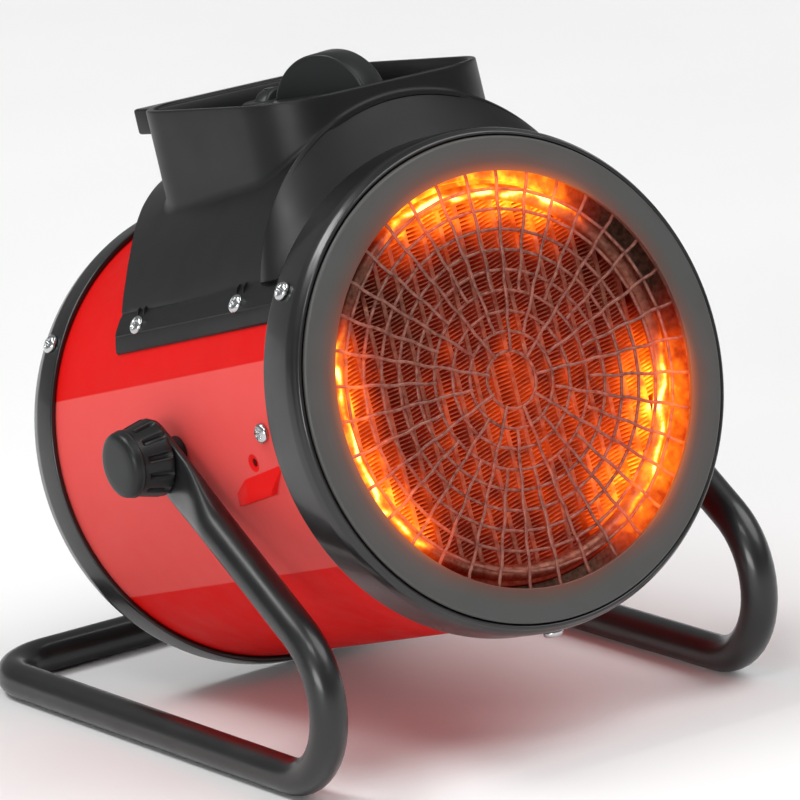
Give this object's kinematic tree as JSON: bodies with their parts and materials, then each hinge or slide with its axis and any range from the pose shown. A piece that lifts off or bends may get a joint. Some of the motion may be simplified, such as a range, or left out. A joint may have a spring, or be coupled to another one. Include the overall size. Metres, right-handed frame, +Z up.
{
  "type": "forced air heater",
  "caption": "Portable drum-shaped fan heater with a round wire-guarded heating face, knob controls in a top housing and a bent-tube tilting stand.",
  "frame": {"origin": "on the floor, under the middle of the heater's box at rest", "axes": "+Z up; the heating face looks to -Y; the side pivots lie along X"},
  "size_m": [0.2486, 0.2888, 0.2676],
  "materials": {
    "stand_paint": "gloss black paint",
    "ring_paint": "satin black paint",
    "drum_paint": "gloss red paint",
    "plate_paint": "satin grey paint",
    "guard_wire": "bright wire",
    "element": "oxidised strip",
    "screw_steel": "bright plated",
    "zinc": "zinc plated",
    "cover_plastic": "satin black moulding",
    "black_plastic": "matt black moulding",
    "knob_plastic": "satin black moulding",
    "ceramic": "pale moulded body",
    "lamp_lens": "clear amber lens"
  },
  "bodies": {
    "stand": {"stand_tube": "stand_paint"},
    "heater_drum": {"pivot_bolt_left": "zinc", "pivot_bolt_right": "zinc", "pivot_spacer_left": "black_plastic", "pivot_spacer_right": "black_plastic", "front_ring_screw_left": "screw_steel", "front_ring_screw_right": "screw_steel", "front_ring_screw_bottom": "screw_steel", "rear_ring_screw_left": "screw_steel", "rear_ring_screw_right": "screw_steel", "rear_ring_screw_bottom": "screw_steel", "cover_screw_left_front": "screw_steel", "cover_screw_left_rear": "screw_steel", "cover_screw_right_front": "screw_steel", "cover_screw_right_rear": "screw_steel", "frame_screw_left": "screw_steel", "frame_screw_right": "screw_steel", "drum_skin": "drum_paint", "front_ring": "ring_paint", "face_plate": "plate_paint", "front_guard": "guard_wire", "heating_core": "element", "heating_ring": "element", "element_frame": "zinc", "inner_duct": "zinc", "motor": "zinc", "motor_bracket": "zinc", "rear_ring": "ring_paint", "rear_grille": "ring_paint", "top_cover": "cover_plastic", "control_panel": "black_plastic", "thermostat": "ceramic", "selector_switch": "black_plastic", "pilot_lamp": "lamp_lens", "terminal_block": "ceramic", "thermal_cutout": "zinc", "cord_inlet_gland": "black_plastic"},
    "left_clamp": {"tilt_knob_left": "knob_plastic"},
    "right_clamp": {"tilt_knob_right": "knob_plastic"},
    "thermostat_dial": {"thermostat_knob": "knob_plastic"},
    "selector_dial": {"selector_knob": "knob_plastic"},
    "fan_rotor": {"fan": "black_plastic", "fan_shaft": "screw_steel"}
  },
  "joints": [
    {"name": "tilt", "type": "hinge", "parent": "stand", "child": "heater_drum", "pos_m": [0, -0.01887, 0.1255], "axis": [1, 0, 0], "range_deg": [-0.5, 20]},
    {"name": "tilt_knob_left_turn", "type": "hinge", "parent": "heater_drum", "child": "left_clamp", "pos_m": [-0.115, -0.01887, 0.1255], "axis": [-1, 0, 0], "range_deg": [0, 360]},
    {"name": "tilt_knob_right_turn", "type": "hinge", "parent": "heater_drum", "child": "right_clamp", "pos_m": [0.115, -0.01887, 0.1255], "axis": [1, 0, 0], "range_deg": [0, 360]},
    {"name": "thermostat_turn", "type": "hinge", "parent": "heater_drum", "child": "thermostat_dial", "pos_m": [0, -0.00656, 0.24569], "axis": [0, 0.1452, 0.9894], "range_deg": [-150, 120]},
    {"name": "selector_turn", "type": "hinge", "parent": "heater_drum", "child": "selector_dial", "pos_m": [0, 0.03697, 0.2393], "axis": [0, 0.1452, 0.9894], "range_deg": [-135, 0]},
    {"name": "fan_spin", "type": "hinge", "parent": "heater_drum", "child": "fan_rotor", "pos_m": [0, 0.00194, 0.11809], "axis": [0, -0.9686, 0.2487], "continuous": true}
  ]
}
